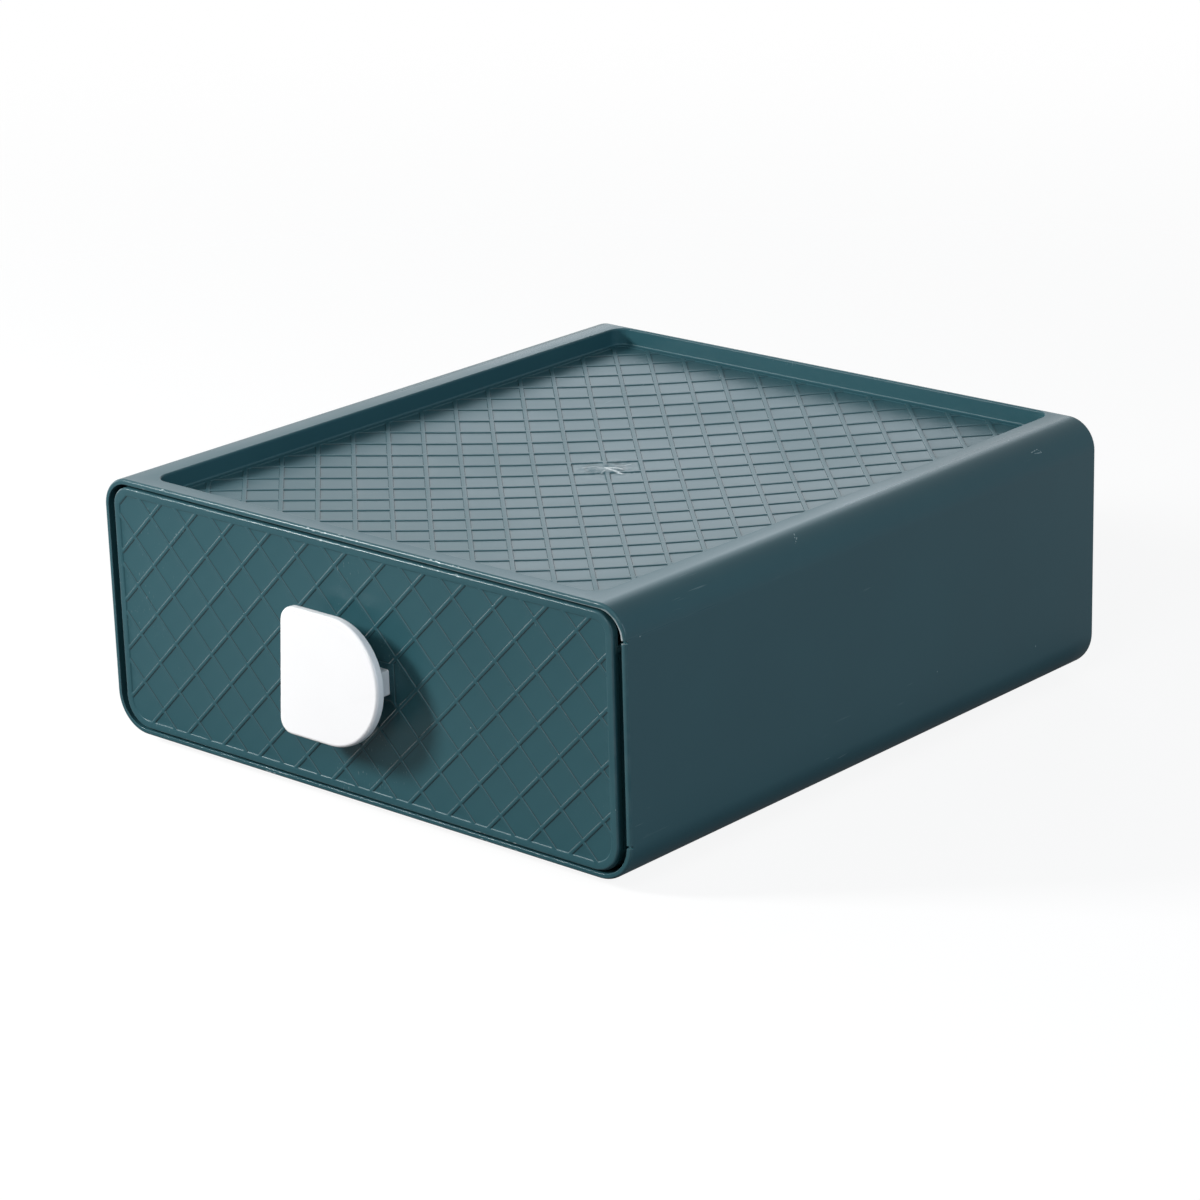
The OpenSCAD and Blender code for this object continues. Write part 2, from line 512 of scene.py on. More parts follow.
@dataclass(frozen=True)
class GateScar:
    """The mark that the moulding gate leaves: the pattern fades, and the face is puckered and streaked.

    The fade, the ring (its middle and half its width), the pit and the reach of the finer mesh are shares of
    the radius.
    """

    centre: Vector
    radius: float = 0.009
    pucker: float = 0.00016
    width: float = 0.0006
    fade_start: float = 0.15
    fade_reach: float = 0.6
    ring: tuple[float, float] = (0.42, 0.18)
    pit: float = 0.25
    fine_reach: float = 1.2
    fine_cuts: int = 6
    rays: tuple[Ray, ...] = (
        Ray(30.0, 0.0002, 0.0052, 0.00022, -25.0),
        Ray(52.0, 0.0034, 0.0080, 0.00009, 30.0),
        Ray(-19.0, 0.0012, 0.0076, 0.00020, 22.0),
        Ray(-42.0, 0.0026, 0.0052, 0.00010, -60.0),
        Ray(-118.0, 0.0008, 0.0030, 0.00008, 70.0),
        Ray(-158.0, 0.0010, 0.0064, 0.00011, 35.0),
    )

    def away(self, places: np.ndarray) -> np.ndarray:
        """Gives the distance from the mark's middle, as a share of its radius."""
        return np.hypot(places[:, 0] - self.centre.x, places[:, 1] - self.centre.y) / self.radius

    def clear(self, places: np.ndarray) -> np.ndarray:
        """Gives how much of the pattern's depth is left at some places."""
        reach = np.clip((self.away(places) - self.fade_start) / self.fade_reach, 0, 1)
        return reach * reach * (3 - 2 * reach)

    def streaks(self, places: np.ndarray) -> np.ndarray:
        """Gives the height of the streaks.

        Args:
            places: Where, an array of one row each.

        Returns:
            The height at each place.
        """
        found = np.zeros(len(places))
        for ray in self.rays:
            turn = math.radians(ray.heading)
            x, y = places[:, 0] - self.centre.x, places[:, 1] - self.centre.y
            forward = x * math.cos(turn) + y * math.sin(turn)
            aside = y * math.cos(turn) - x * math.sin(turn) - ray.bend * forward**2
            past = np.maximum(np.maximum(ray.start - forward, forward - ray.end), 0)
            found = np.maximum(found, ray.height * np.exp(-(aside**2 + past**2) / self.width**2))
        return found

    def height(self, places: np.ndarray) -> np.ndarray:
        """Gives the face's height: the streaks, and a low ring round a small pit.

        Args:
            places: Where, an array of one row each.

        Returns:
            The height at each place.
        """
        away = self.away(places)
        middle, half = self.ring
        ring = np.exp(-(((away - middle) / half) ** 2))
        pit = np.exp(-((away / self.pit) ** 2))
        return self.pucker * (ring - pit) + self.streaks(places)


def widen(
    obj: bpy.types.Object, outline: Outline, out: float, height: Callable[[float], float]
) -> None:
    """Extrudes a sheet's open edge and moves the new edge outwards.

    Args:
        obj: The sheet, seen from above.
        outline: The outline whose outward directions the move follows.
        out: How far the new edge goes outwards.
        height: Gives the new edge's height from the old one's.
    """
    with editing(obj, Part.EDGES):
        pick_edges(obj, lambda edge: edge.is_boundary)
        bpy.ops.mesh.extrude_edges_move()
        sheet = bmesh.from_edit_mesh(obj.data)
        for vertex in sheet.verts:
            if vertex.select:
                moved = vertex.co + outline.outward(vertex.co) * out
                vertex.co = Vector((moved.x, moved.y, height(vertex.co.z)))
        bmesh.update_edit_mesh(obj.data)


@dataclass(frozen=True)
class Diamonds:
    """A field of sunk diamonds between raised lines, modelled flat with its outside facing +Z."""

    outline: Outline
    size: float = 0.015
    line: float = 0.00115
    depth: float = 0.00026
    shoulder: float = 0.0002
    shift: tuple[float, float] = (0.0, 0.0)
    interior: int = 2
    pad: tuple[float, float] | None = None
    window: tuple[float, float] | None = None
    scar: GateScar | None = None

    @property
    def pitch(self) -> float:
        """The distance between neighbouring parallel lines."""
        return self.size / ROOT2

    @property
    def offsets(self) -> tuple[float, float]:
        """The two families' shifts, square to their lines."""
        return (self.shift[0] + self.shift[1]) / ROOT2, (self.shift[1] - self.shift[0]) / ROOT2

    def stations(self, offset: float) -> list[float]:
        """Lists where, square to one family of lines, the sheet needs an edge.

        Args:
            offset: The family's shift.

        Returns:
            The places, rising.
        """
        reach = (self.outline.width + self.outline.height) / 2 / ROOT2 + self.pitch
        count = math.ceil(reach / self.pitch) + 1
        edge = self.line / 2
        bottom = edge + self.shoulder
        steps = [-bottom, -edge - self.shoulder / 2, -edge, edge, edge + self.shoulder / 2, bottom]
        cell = self.pitch - 2 * bottom
        steps += [bottom + cell * (k + 1) / (self.interior + 1) for k in range(self.interior)]
        return [k * self.pitch + offset + s for k in range(-count, count) for s in steps]

    def sunk(self, across: np.ndarray, offset: float) -> np.ndarray:
        """Gives how deep the sheet lies beside one family of lines.

        Args:
            across: Places square to the lines.
            offset: The family's shift.

        Returns:
            0 on a line to 1 in a diamond.
        """
        phase = (across - offset) / self.pitch
        from_line = np.abs(phase - np.round(phase)) * self.pitch
        return np.clip((from_line - self.line / 2) / self.shoulder, 0, 1)

    def grid(self, name: str) -> bpy.types.Object:
        """Models a flat grid with an edge along each side of each line.

        Args:
            name: The new object's name.

        Returns:
            The grid, larger than the outline all round.
        """
        across, along_it = (np.array(self.stations(offset)) for offset in self.offsets)
        count = len(across) - 1
        bpy.ops.object.select_all(action="DESELECT")
        bpy.ops.mesh.primitive_grid_add(x_subdivisions=count, y_subdivisions=count, size=count)
        made = bpy.context.view_layer.objects.active
        made.name = name
        spots = read_places(made)
        first = across[np.rint(spots[:, 0] + count / 2).astype(int)]
        second = along_it[np.rint(spots[:, 1] + count / 2).astype(int)]
        flat = np.zeros(len(spots))
        write_places(made, np.stack([(first - second) / ROOT2, (first + second) / ROOT2, flat], axis=1))
        return made

    def trim(self, sheet: bpy.types.Object, inner: Outline) -> None:
        """Cuts the grid to its outline and gives it the edges that the pad, the window and the scar need.

        Args:
            sheet: The flat grid.
            inner: Where it ends.
        """
        with editing(sheet, Part.VERTS):
            for place, normal in inner.tangents():
                bpy.ops.mesh.select_all(action="SELECT")
                bpy.ops.mesh.bisect(plane_co=place, plane_no=normal, clear_outer=True, threshold=ON_PLANE)
        if self.pad:
            for reach in (0.0, self.shoulder / 2, self.shoulder):
                self.score(sheet, self.pad[0] + reach, self.pad[1] + reach)
        if self.window:
            self.score(sheet, *self.window)
        if self.scar:
            near = self.scar.radius * self.scar.fine_reach
            with editing(sheet, Part.FACES):
                pick_faces(sheet, lambda middle, normal: (middle - self.scar.centre).length < near)
                bpy.ops.mesh.subdivide(number_cuts=self.scar.fine_cuts)

    def score(self, sheet: bpy.types.Object, wide: float, high: float) -> None:
        """Cuts new edges into the sheet along a rectangle round its middle.

        Args:
            sheet: The flat sheet.
            wide: Half the rectangle's width.
            high: Half its height.
        """
        near = self.pitch
        with editing(sheet, Part.FACES):
            for normal in SIDES:
                pick_faces(sheet, lambda m, n: abs(m.x) < wide + near and abs(m.y) < high + near)
                place = Vector((normal.x * wide, normal.y * high, 0))
                bpy.ops.mesh.bisect(plane_co=place, plane_no=normal, threshold=ON_PLANE)

    def pressed(self, spots: np.ndarray) -> np.ndarray:
        """Gives how deep the face is pressed in.

        Args:
            spots: Where, an array of one row each.

        Returns:
            0 on a line, the pad or the scar's middle, to 1 in a diamond.
        """
        first, second = self.offsets
        depth = self.sunk((spots[:, 0] + spots[:, 1]) / ROOT2, first)
        depth *= self.sunk((spots[:, 1] - spots[:, 0]) / ROOT2, second)
        if self.pad:
            outside = np.maximum(np.abs(spots[:, 0]) - self.pad[0], np.abs(spots[:, 1]) - self.pad[1])
            depth *= np.clip(outside / self.shoulder, 0, 1)
        if self.scar:
            depth *= self.scar.clear(spots)
        return depth

    def mark(self, sheet: bpy.types.Object) -> None:
        """Writes the attributes that the finish reads, and raises the scar.

        The attribute "sunk" runs from 0 on a line to 1 in a diamond, "pattern" is 1 all over, "faded" is 1
        where the lines aren't polished, and "streak" is 1 on the scar's tallest streak.

        Args:
            sheet: The sheet with its lines at height 0.
        """
        spots = read_places(sheet)
        write_attribute(sheet, "sunk", -spots[:, 2] / self.depth)
        write_attribute(sheet, "pattern", np.ones(len(spots)))
        dull = by_open_edge(sheet)
        if self.scar:
            dull = np.maximum(dull, 1 - self.scar.clear(spots))
        write_attribute(sheet, "faded", dull)
        if self.scar:
            tallest = max(ray.height for ray in self.scar.rays)
            write_attribute(sheet, "streak", self.scar.streaks(spots) / tallest)
            spots[:, 2] += self.scar.height(spots)
            write_places(sheet, spots)

    def sheet(self, name: str) -> bpy.types.Object:
        """Models the field.

        Args:
            name: The new object's name.

        Returns:
            An open sheet that ends where its outline's flat border starts, with its lines at height 0.
        """
        made = self.grid(name)
        inner = self.outline.inset(self.shoulder)
        self.trim(made, inner)
        spots = read_places(made)
        spots[:, 2] = -self.depth * self.pressed(spots)
        write_places(made, spots)
        for share in (0.5, 0.0):
            widen(made, inner, self.shoulder / 2, lambda height, s=share: s * height)
        self.mark(made)
        if self.window:
            wide, high = self.window
            remove_faces(made, lambda middle, normal: abs(middle.x) < wide and abs(middle.y) < high)
        return made


# ---------------------------------------------------------------- the case


@dataclass
class Case:
    """The open-fronted case with its sunk top and its stacking foot."""

    low: Vector
    high: Vector
    wall: float = 0.0016
    top_radius: float = 0.0092
    bottom_radius: float = 0.0115
    front_edge: float = 0.0008
    back_edge: float = 0.0010
    mouth_edge: float = 0.0002
    foot_edge: float = 0.0004
    rim_side: float = 0.015
    rim_front: float = 0.0062
    rim_back: float = 0.0018
    recess_depth: float = 0.0055
    recess_radius: float = 0.005
    recess_border: float = 0.0016
    floor_fillet: float = 0.0006
    rim_edge: float = 0.0006
    sag: float = 0.0035
    foot_height: float = 0.003
    stack_gap: float = 0.0008
    stop_back: float = 0.0112
    stop_proud: float = 0.0019
    stop_thick: float = 0.0024
    stop_height: float = 0.016
    stop_middle: float = 0.0373
    nick: float = 0.0009
    flash_reach: float = 1.2
    pattern_shift: tuple[float, float] = (-0.0024, 0.0012)
    gate: tuple[float, float] = (-0.0058, 0.0064)
    arc_steps: int = 4

    @property
    def recess_low(self) -> Vector:
        """The sunk top's lowest corner, at its walls' foot."""
        inset = Vector((self.rim_side, self.rim_front, -self.recess_depth))
        return Vector((self.low.x, self.low.y, self.high.z)) + inset

    @property
    def recess_high(self) -> Vector:
        """The sunk top's highest corner, at the rim."""
        return Vector((self.high.x - self.rim_side, self.high.y - self.rim_back, self.high.z))

    @property
    def recess_middle(self) -> Vector:
        """The middle of the sunk top's floor."""
        low, high = self.recess_low, self.recess_high
        return Vector(((low.x + high.x) / 2, (low.y + high.y) / 2, low.z))

    def dish(self, places: np.ndarray) -> np.ndarray:
        """Gives how far the sunk top's floor sags.

        Args:
            places: Where, an array of one row each.

        Returns:
            The sag at each place, 0 at the walls.
        """
        half = (self.recess_high - self.recess_low) / 2
        a = (places[:, 0] - self.recess_middle.x) / half.x
        b = (places[:, 1] - self.recess_middle.y) / half.y
        return self.sag * np.clip(1 - a * a, 0, 1) * np.clip(1 - b * b, 0, 1)

    def under_top(self, name: str, inset: float, bottom: float, top: float) -> bpy.types.Object:
        """Models a block with the sunk top's plan, its upright edges rounded.

        Args:
            name: The new object's name.
            inset: How far its sides stand in from the sunk top's walls.
            bottom: The height of its underside.
            top: The height of its upper face.

        Returns:
            The block.
        """
        low, high = self.recess_low, self.recess_high
        beside = Vector((inset, inset, 0))
        made = block(name, Vector((low.x, low.y, bottom)) + beside, Vector((high.x, high.y, top)) - beside)
        round_edges(made, self.recess_radius - inset, 6, along(2))
        return made

    def shell(self) -> bpy.types.Object:
        """Models the outer form with the foot under it.

        Returns:
            The solid form.
        """
        body_low = self.low + Vector((0, 0, self.foot_height))
        made = bar("case_shell", body_low, self.high, self.top_radius, self.bottom_radius)
        round_edges(made, self.front_edge, 6, at(1, self.low.y))
        round_edges(made, self.back_edge, 4, at(1, self.high.y))
        foot = self.under_top("foot", self.stack_gap, self.low.z, body_low.z + self.wall / 2)
        round_edges(foot, self.foot_edge, 2, at(2, self.low.z))
        combine(made, foot, Cut.ADD)
        return made

    def bay(self) -> bpy.types.Object:
        """Models the space that the drawer runs in, less the sunk top that hangs into it.

        Returns:
            The space as a solid, to be cut out of the shell.
        """
        wall = Vector((self.wall, 0, self.wall))
        low = self.low + Vector((0, 0, self.foot_height)) + wall
        high = self.high - wall
        made = bar(
            "bay",
            Vector((low.x, low.y - PAST, low.z)),
            Vector((high.x, high.y - self.wall, high.z)),
            self.top_radius - self.wall,
            self.bottom_radius - self.wall,
        )
        cup = block(
            "cup",
            self.recess_low - Vector((self.wall, self.wall, self.wall)),
            Vector((self.recess_high.x + self.wall, high.y + PAST, self.high.z)),
        )
        bottom = self.recess_low.z - self.wall
        with editing(cup, Part.FACES):
            pick_faces(cup, lambda middle, normal: normal.z < -STRAIGHT)
            bpy.ops.mesh.subdivide(number_cuts=11)
        round_edges(cup, self.recess_radius + self.wall, 8, along(2, lambda m: m.y < 0 and m.z > bottom))
        places = read_places(cup)
        under = np.abs(places[:, 2] - bottom) < TOUCH
        places[under, 2] -= self.dish(places)[under]
        write_places(cup, places)
        combine(made, cup, Cut.TAKE)
        return made

    def sunk_top(self) -> bpy.types.Object:
        """Models the sunk top: its patterned floor, the fillet, its walls and the rim's inner edge.

        Returns:
            An open sheet whose edge lies in the rim's plane.
        """
        size = self.recess_high - self.recess_low
        inset = self.recess_border
        outline = Outline(size.x, size.y, self.recess_radius, self.recess_radius).inset(inset)
        scar = GateScar(Vector((self.gate[0], self.gate[1] - self.recess_middle.y, 0)))
        made = Diamonds(outline, shift=self.pattern_shift, scar=scar).sheet("sunk_top")
        widen(made, outline, inset - self.floor_fillet, lambda height: 0.0)
        places = read_places(made)
        places[:, 2] -= self.dish(places + np.array(self.recess_middle))
        write_places(made, places)
        turns = [math.pi / 2 * k / self.arc_steps for k in range(self.arc_steps + 1)]
        fillet, edge = self.floor_fillet, self.rim_edge
        fillet_arc = [(fillet * math.sin(turn), fillet * (1 - math.cos(turn))) for turn in turns[1:]]
        edge_arc = [(edge * (1 - math.cos(turn)), size.z - edge * (1 - math.sin(turn))) for turn in turns]
        for arc in (fillet_arc, edge_arc):
            gone = 0.0
            for out, up in arc:
                widen(made, outline, out - gone, lambda height, z=up: z)
                gone = out
        write_places(made, read_places(made) + np.array(self.recess_middle))
        return made

    def stop_ribs(self) -> list[bpy.types.Object]:
        """Models the two ribs inside the side walls that stop the drawer.

        Returns:
            The right rib and the left one.
        """
        inner = self.high.x - self.wall
        front = self.low.y + self.stop_back
        middle = self.low.z + self.stop_middle
        half = self.stop_height / 2
        rib = block(
            "stop_rib",
            Vector((inner - self.stop_proud, front, middle - half)),
            Vector((inner + self.wall / 2, front + self.stop_thick, middle + half)),
        )
        round_edges(rib, self.foot_edge, 2, at(0, inner - self.stop_proud))
        return [rib, mirrored(rib)]

    def nicks(self) -> list[bpy.types.Object]:
        """Models the small nicks where the right wall's front edge turns into the corners.

        Returns:
            Their cutters.
        """
        found = []
        for height in (self.low.z + self.foot_height + self.bottom_radius, self.high.z - self.top_radius):
            spot = Vector((self.high.x - self.wall / 2, self.low.y, height))
            half = Vector((self.wall, self.nick, self.nick / 2))
            found.append(block("nick", spot - half, spot + half))
        return found

    def mark_flash(self, made: bpy.types.Object) -> None:
        """Writes the attribute "flash": 1 on the pale seam of plastic along the mouth's upper right corner.

        Args:
            made: The finished case.
        """
        places = read_places(made)
        inner = self.high.x - self.wall
        top = self.high.z - self.wall
        radius = self.top_radius - self.wall
        beside = places[:, 0] - (inner - radius)
        above = places[:, 2] - (top - radius)
        gap = np.hypot(np.maximum(beside, 0), np.maximum(above, 0)) - radius
        at_front = places[:, 1] < self.low.y + self.mouth_edge + TOUCH
        at_lip = at_front & (np.abs(gap) < self.flash_reach * self.mouth_edge)
        write_attribute(made, "flash", at_lip & (beside > 0) & (above > -radius / 4))

    def build(self) -> bpy.types.Object:
        """Builds the case.

        Returns:
            One closed mesh, finished and in place.
        """
        made = self.shell()
        combine(made, self.bay(), Cut.TAKE)
        round_edges(made, self.mouth_edge, 2, at(1, self.low.y))
        inset = self.stack_gap + self.wall
        top = self.foot_height + self.wall + PAST
        pocket = self.under_top("pocket", inset, self.low.z + self.wall, top)
        combine(made, pocket, Cut.TAKE)
        for rib in self.stop_ribs():
            combine(made, rib, Cut.ADD)
        for nick in self.nicks():
            combine(made, nick, Cut.TAKE)
        rim = self.high.z
        remove_faces(made, lambda middle, normal: normal.z > STRAIGHT and abs(middle.z - rim) < TOUCH)
        merge(made, [self.sunk_top()])
        close_flat(made, at(2, self.high.z))
        finish_mesh(made)
        self.mark_flash(made)
        made.name = "case_moulding"
        return made


# ---------------------------------------------------------------- the drawer


@dataclass
class Drawer:
    """The drawer: its patterned front panel and the tray behind it, one moulding."""

    low: Vector
    high: Vector
    panel_low: float = 0.0053
    panel_high: float = 0.0787
    panel_half: float = 0.0957
    panel_thickness: float = 0.0026
    panel_top_radius: float = 0.0060
    panel_bottom_radius: float = 0.0087
    panel_edge: float = 0.0006
    panel_border: float = 0.0022
    tray_half: float = 0.0955
    tray_top: float = 0.0695
    tray_wall: float = 0.0018
    tray_floor: float = 0.0018
    tray_long_radius: float = 0.008
    tray_back_radius: float = 0.006
    inner_fillet: float = 0.0015
    small_edge: float = 0.0004
    lip_proud: float = 0.0004
    lip_height: float = 0.002
    lug_front: float = 0.0599
    lug_proud: float = 0.0019
    lug_flat: float = 0.0024
    lug_ramp: float = 0.009
    lug_height: float = 0.016
    slot_half: Vector = field(default_factory=lambda: Vector((0.0117, 0, 0.0027)))
    pad_half: tuple[float, float] = (0.0151, 0.00535)
    window_margin: float = 0.0006
    line: float = 0.0006
    line_depth: float = 0.00033
    line_shoulder: float = 0.0004
    pattern_size: float = 0.01486
    pattern_shift: tuple[float, float] = (0.0088, 0.0001)

    @property
    def panel_middle(self) -> Vector:
        """The middle of the panel's front face."""
        return Vector((0, self.low.y, (self.panel_low + self.panel_high) / 2))

    def panel(self) -> bpy.types.Object:
        """Models the panel's blank.

        Returns:
            The panel, without its pattern and the slot for the pull's legs.
        """
        back = self.low.y + self.panel_thickness
        made = bar(
            "panel",
            Vector((-self.panel_half, self.low.y, self.panel_low)),
            Vector((self.panel_half, back, self.panel_high)),
            self.panel_top_radius,
            self.panel_bottom_radius,
            10,
        )
        round_edges(made, self.panel_edge, 6, at(1, self.low.y))
        round_edges(made, self.small_edge, 2, at(1, back))
        return made

    def pattern(self) -> bpy.types.Object:
        """Models the patterned face of the panel, up to the flat border round it.

        Returns:
            An open sheet in its place, with a window for the slot.
        """
        inset = self.panel_border
        outline = Outline(
            2 * (self.panel_half - inset),
            self.panel_high - self.panel_low - 2 * inset,
            self.panel_top_radius - inset,
            self.panel_bottom_radius - inset,
        )
        window = (self.slot_half.x + self.window_margin, self.slot_half.z + self.window_margin)
        pattern = Diamonds(
            outline,
            size=self.pattern_size,
            line=self.line,
            depth=self.line_depth,
            shoulder=self.line_shoulder,
            shift=self.pattern_shift,
            pad=self.pad_half,
            window=window,
        )
        made = pattern.sheet("panel_pattern")
        made.rotation_euler = (math.pi / 2, 0, 0)
        made.location = self.panel_middle
        settle(made)
        return made

    def tray(self) -> bpy.types.Object:
        """Models the tray with its lip and stop lugs, its open front end inside the panel.

        Returns:
            The tray.
        """
        front = self.low.y + self.panel_thickness
        start = front - self.panel_thickness / 2
        low = Vector((-self.tray_half, start, self.low.z))
        high = Vector((self.tray_half, self.high.y, self.tray_top))
        made = block("tray", low, high)
        round_edges(made, self.tray_long_radius, 10, along(1, lambda m: m.z < low.z + TOUCH))
        round_edges(made, self.tray_back_radius, 8, self.round_back(high.y, high.z))
        proud = Vector((self.lip_proud, 0, 0))
        lip = block("lip", Vector((low.x, low.y, high.z - self.lip_height)) - proud, high + proud)
        round_edges(lip, self.tray_back_radius, 8, along(2, lambda m: m.y > 0))
        round_edges(lip, self.small_edge, 2, at(2, high.z - self.lip_height))
        combine(made, lip, Cut.ADD)
        for lug in self.lugs():
            combine(made, lug, Cut.ADD)
        wall = Vector((self.tray_wall, self.tray_wall, 0))
        room = block(
            "room",
            Vector((low.x + wall.x, front, low.z + self.tray_floor)),
            Vector((high.x - wall.x, high.y - wall.y, high.z + PAST)),
        )
        bottom = low.z + self.tray_floor
        top = high.z + PAST
        long_radius = self.tray_long_radius - self.tray_wall
        back_radius = self.tray_back_radius - self.tray_wall
        round_edges(room, long_radius, 10, along(1, lambda m: m.z < bottom + TOUCH))
        round_edges(room, back_radius, 8, self.round_back(high.y - wall.y, top))
        round_edges(room, self.inner_fillet, 4, self.round_back(front, top))
        combine(made, room, Cut.TAKE)
        return made

    def on_pad(self, place: Vector) -> bool:
        """Says whether a place on the panel lies on the flat pad round the slot."""
        beside = place - self.panel_middle
        return abs(beside.x) < self.pad_half[0] and abs(beside.z) < self.pad_half[1]

    @staticmethod
    def round_back(y: float, top: float) -> Test:
        """Makes a test for the edges of an upright face that faces front or back, less its top edge.

        Args:
            y: Where the face stands.
            top: The height of its top edge.

        Returns:
            The test for round_edges.
        """

        def wanted(a: Vector, b: Vector) -> bool:
            """Says whether the edge lies in the face and not along its top."""
            in_face = abs(a.y - y) < TOUCH and abs(b.y - y) < TOUCH
            return in_face and not (abs(a.z - top) < TOUCH and abs(b.z - top) < TOUCH)

        return wanted

    def lugs(self) -> list[bpy.types.Object]:
        """Models the two wedges on the tray's sides that meet the case's ribs.

        Returns:
            The right lug and the left one.
        """
        root = self.tray_half - self.tray_wall / 2
        tip = self.tray_half + self.lug_proud
        middle = (self.low.z + self.tray_top) / 2
        end = self.lug_front + self.lug_flat + self.lug_ramp
        lug = block(
            "lug",
            Vector((root, self.lug_front, middle - self.lug_height / 2)),
            Vector((tip, end, middle + self.lug_height / 2)),
        )
        slope = Vector((self.lug_ramp, tip - root, 0)).normalized()
        slice_off(lug, Vector((tip, self.lug_front + self.lug_flat, middle)), slope)
        round_edges(lug, self.small_edge, 2, lambda a, b: a.x > root + TOUCH and b.x > root + TOUCH)
        return [lug, mirrored(lug)]

    def build(self) -> bpy.types.Object:
        """Builds the drawer.

        Returns:
            One closed mesh, finished and in place.
        """
        made = self.panel()
        combine(made, self.tray(), Cut.ADD)
        middle = self.panel_middle
        reach = Vector((0, self.panel_thickness + PAST, 0))
        slot = block("slot", middle - self.slot_half - Vector((0, PAST, 0)), middle + self.slot_half + reach)
        combine(made, slot, Cut.TAKE)
        round_edges(made, self.small_edge, 2, at(2, self.tray_top))
        face = self.low.y
        remove_faces(made, lambda middle, normal: normal.y < -STRAIGHT and abs(middle.y - face) < TOUCH)
        merge(made, [self.pattern()])
        plane = at(1, self.low.y)
        for at_slot in (False, True):
            close_flat(made, lambda a, b, near=at_slot: plane(a, b) and self.on_pad(a) == near)
        finish_mesh(made)
        made.name = "drawer_moulding"
        return made


# ---------------------------------------------------------------- the pull


@dataclass
class Pull:
    """The white finger pull: a leaning D-shaped plate on a neck with two snap legs."""

    seat: Vector
    panel_thickness: float
    width: float = 0.038
    height: float = 0.037
    thickness: float = 0.003
    corner_radius: float = 0.0045
    front_edge: float = 0.0010
    back_edge: float = 0.0006
    gap: float = 0.0074
    lean: float = 4.0
    neck_half: Vector = field(default_factory=lambda: Vector((0.0135, 0, 0.00375)))
    neck_edge: float = 0.0006
    leg_low: float = 0.0093
    leg_high: float = 0.0115
    leg_half_height: float = 0.0025
    leg_reach: float = 0.0032
    barb: float = 0.0009
    snap_gap: float = 0.0002
    smooth_under: float = 40.0

    def plate(self) -> bpy.types.Object:
        """Models the D-shaped plate, leaning so that its lower edge stands further out.

        Returns:
            The plate in its place.
        """
        half = Vector((self.width / 2, 0, self.height / 2))
        made = block("plate", -half - Vector((0, self.thickness, 0)), half)
        round_edges(made, self.corner_radius, 10, along(1, lambda m: m.x < 0))
        round_edges(made, self.height / 2 - TOUCH * 5, 28, along(1, lambda m: m.x > half.x - TOUCH))
        round_edges(made, self.front_edge, 7, at(1, -self.thickness))
        round_edges(made, self.back_edge, 3, at(1, 0.0))
        made.rotation_euler = (-math.radians(self.lean), 0, 0)
        made.location = self.seat - Vector((0, self.gap, 0))
        settle(made)
        return made

    def leg(self) -> bpy.types.Object:
        """Models the right snap leg with its barb.

        Returns:
            The leg.
        """
        hook = self.panel_thickness + self.snap_gap
        tip = self.panel_thickness + self.leg_reach
        up = Vector((0, 0, self.leg_half_height))
        made = block(
            "leg",
            self.seat + Vector((self.leg_low, -self.gap / 2, 0)) - up,
            self.seat + Vector((self.leg_high, tip, 0)) + up,
        )
        barb = block(
            "barb",
            self.seat + Vector(((self.leg_low + self.leg_high) / 2, hook, 0)) - up,
            self.seat + Vector((self.leg_high + self.barb, tip + PAST, 0)) + up,
        )
        slope = Vector((tip - hook, self.barb, 0)).normalized()
        slice_off(barb, self.seat + Vector((self.leg_high + self.barb, hook, 0)), slope)
        slice_off(barb, self.seat + Vector((0, tip, 0)), Vector((0, 1, 0)))
        combine(made, barb, Cut.ADD)
        return made

    def build(self) -> bpy.types.Object:
        """Builds the pull.

        Returns:
            One closed mesh, finished and in place.
        """
        made = self.plate()
        neck = block(
            "neck",
            self.seat - self.neck_half - Vector((0, self.gap + self.thickness / 2, 0)),
            self.seat + self.neck_half,
        )
        round_edges(neck, self.neck_edge, 3, along(1))
        combine(made, neck, Cut.ADD)
        right = self.leg()
        for leg in (mirrored(right), right):
            combine(made, leg, Cut.ADD)
        finish_mesh(made, self.smooth_under)
        made.name = "finger_pull"
        return made


# ---------------------------------------------------------------- the finishes


